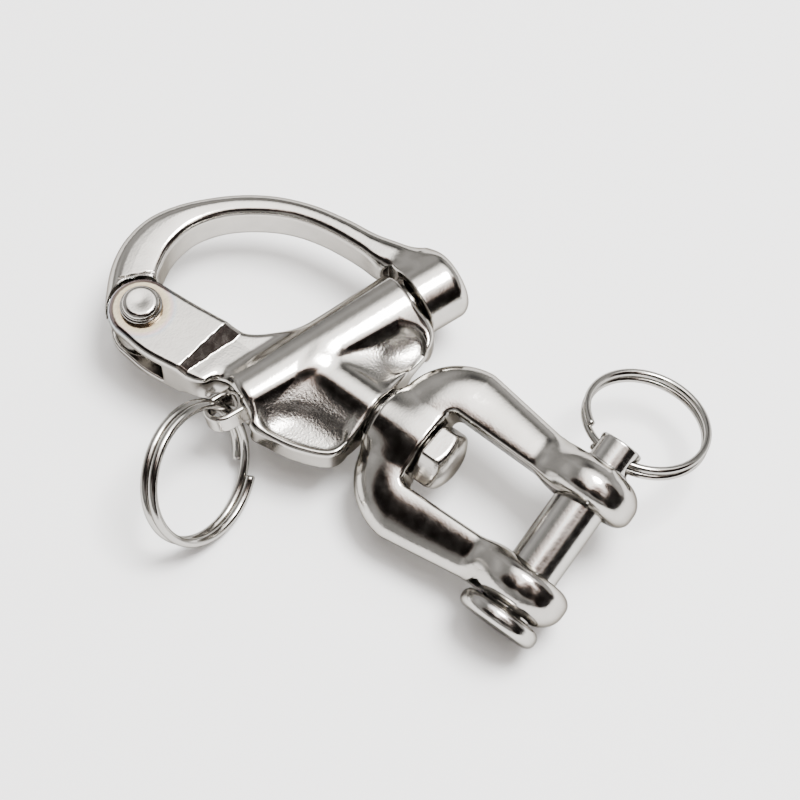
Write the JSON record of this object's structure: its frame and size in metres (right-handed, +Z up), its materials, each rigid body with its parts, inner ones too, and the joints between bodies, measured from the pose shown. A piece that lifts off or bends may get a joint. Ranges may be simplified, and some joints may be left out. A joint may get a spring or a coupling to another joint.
{
  "type": "swivel snap shackle",
  "caption": "Polished steel snap shackle: a hinged hook arm closes on a spring-loaded lock pin, and a swivelling clevis fork holds a headed pin with a split ring.",
  "frame": {"origin": "centre of the bottom of the overall box, with the shackle lying flat", "axes": "+Y along the swivel axis from the clevis fork towards the hook, +X towards the hook's lock boss, +Z up through the flat of the hook"},
  "size_m": [0.0654, 0.0896, 0.021],
  "materials": {
    "cast_steel": "electropolished casting",
    "turned_steel": "turned and polished",
    "ring_steel": "bright drawn wire",
    "spring_steel": "drawn wire"
  },
  "bodies": {
    "body": {"body": "cast_steel", "hinge_rivet": "turned_steel", "swivel_bolt": "turned_steel", "plunger_spring": "spring_steel"},
    "hook": {"hook": "cast_steel"},
    "plunger": {"plunger": "turned_steel"},
    "plunger_ring": {"plunger_ring": "ring_steel"},
    "fork": {"fork": "cast_steel"},
    "clevis_pin": {"clevis_pin": "turned_steel"},
    "clevis_ring": {"clevis_ring": "ring_steel"}
  },
  "joints": [
    {"name": "hook_hinge", "type": "hinge", "parent": "body", "child": "hook", "pos_m": [-0.00783, 0.03424, 0.01133], "axis": [0, 0, 1], "range_deg": [0, 75]},
    {"name": "plunger_pull", "type": "slide", "parent": "body", "child": "plunger", "axis": [-0.9455, 0.3256, 0], "range_m": [0, 0.006], "stiffness_N_per_m": 800, "springref_m": -0.004, "deforming": ["plunger_spring"]},
    {"name": "plunger_ring_swing", "type": "hinge", "parent": "plunger", "child": "plunger_ring", "pos_m": [-0.01211, 0.0152, 0.01133], "axis": [0.24, -0.41, -0.88], "range_deg": [-10, 55]},
    {"name": "fork_swivel", "type": "hinge", "parent": "body", "child": "fork", "pos_m": [0.00107, -0.00796, 0.01133], "axis": [0, 1, 0], "continuous": true},
    {"name": "clevis_pin_spin", "type": "hinge", "parent": "fork", "child": "clevis_pin", "pos_m": [0.00107, -0.03495, 0.01133], "axis": [0.9613, 0, 0.2756], "continuous": true},
    {"name": "clevis_ring_swing", "type": "hinge", "parent": "clevis_pin", "child": "clevis_ring", "pos_m": [0.01463, -0.03495, 0.01521], "axis": [0, 1, 0], "range_deg": [-105, 50]}
  ]
}
